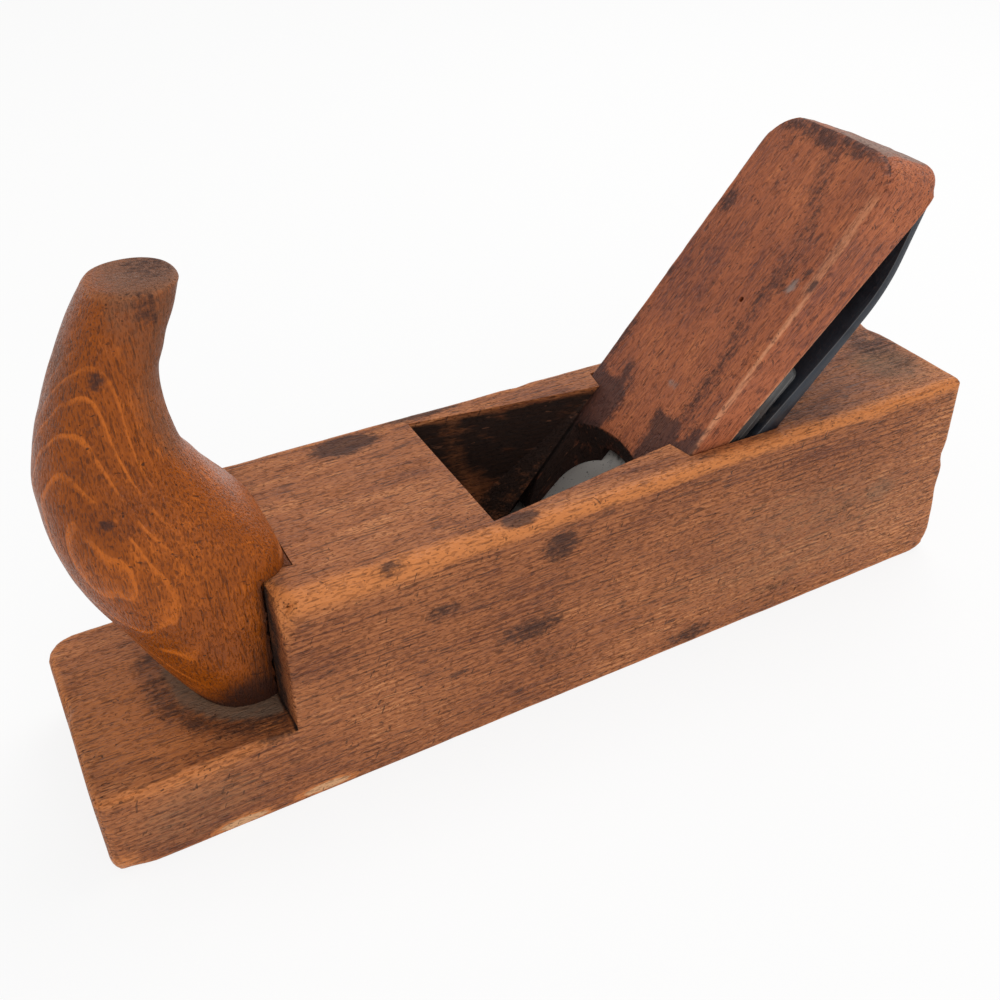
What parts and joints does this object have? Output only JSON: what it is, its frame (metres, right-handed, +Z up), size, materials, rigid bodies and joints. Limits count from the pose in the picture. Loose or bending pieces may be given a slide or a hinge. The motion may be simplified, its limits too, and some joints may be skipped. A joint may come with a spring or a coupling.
{
  "type": "wooden hand plane",
  "caption": "Stepped beech smoothing plane with a carved horn at the toe, a blade and cap iron on a 45 degree bed, and a forked wooden wedge that locks them in the throat.",
  "frame": {"origin": "centre of the sole, on the flat that the plane rests on", "axes": "+X from the toe with its horn to the heel, +Y to the right hand of the user who stands behind the heel, +Z up out of the throat"},
  "size_m": [0.24, 0.0584, 0.1232],
  "materials": {
    "beech_stock": "old oiled beech, handled smooth, stained",
    "beech_horn": "old oiled beech, polished by the hand",
    "beech_wedge": "old beech, dull, with hammer marks on its end",
    "blade_steel": "dark patina, bright at the ground edge",
    "cap_steel": "dull grey patina",
    "nut_brass": "tarnished",
    "screw_steel": "brown patina"
  },
  "bodies": {
    "stock": {"plane_body": "beech_stock", "horn": "beech_horn"},
    "blade": {"blade_iron": "blade_steel"},
    "cap": {"cap_iron": "cap_steel", "cap_iron_nut": "nut_brass"},
    "wedge": {"wedge": "beech_wedge"},
    "screw": {"cap_iron_screw": "screw_steel"}
  },
  "joints": [
    {"name": "blade_slide", "type": "slide", "parent": "stock", "child": "blade", "axis": [0.7071, 0, 0.7071], "range_m": [-0.001, 0.1]},
    {"name": "cap_iron_slide", "type": "slide", "parent": "blade", "child": "cap", "axis": [0.7071, 0, 0.7071], "range_m": [-0.0005, 0.045]},
    {"name": "wedge_slide", "type": "slide", "parent": "cap", "child": "wedge", "axis": [0.7325, 0, 0.6808], "range_m": [0, 0.12]},
    {"name": "cap_screw_turn", "type": "hinge", "parent": "cap", "child": "screw", "pos_m": [0.04484, 0, 0.04384], "axis": [0.7071, 0, -0.7071], "range_deg": [0, 1080]}
  ]
}
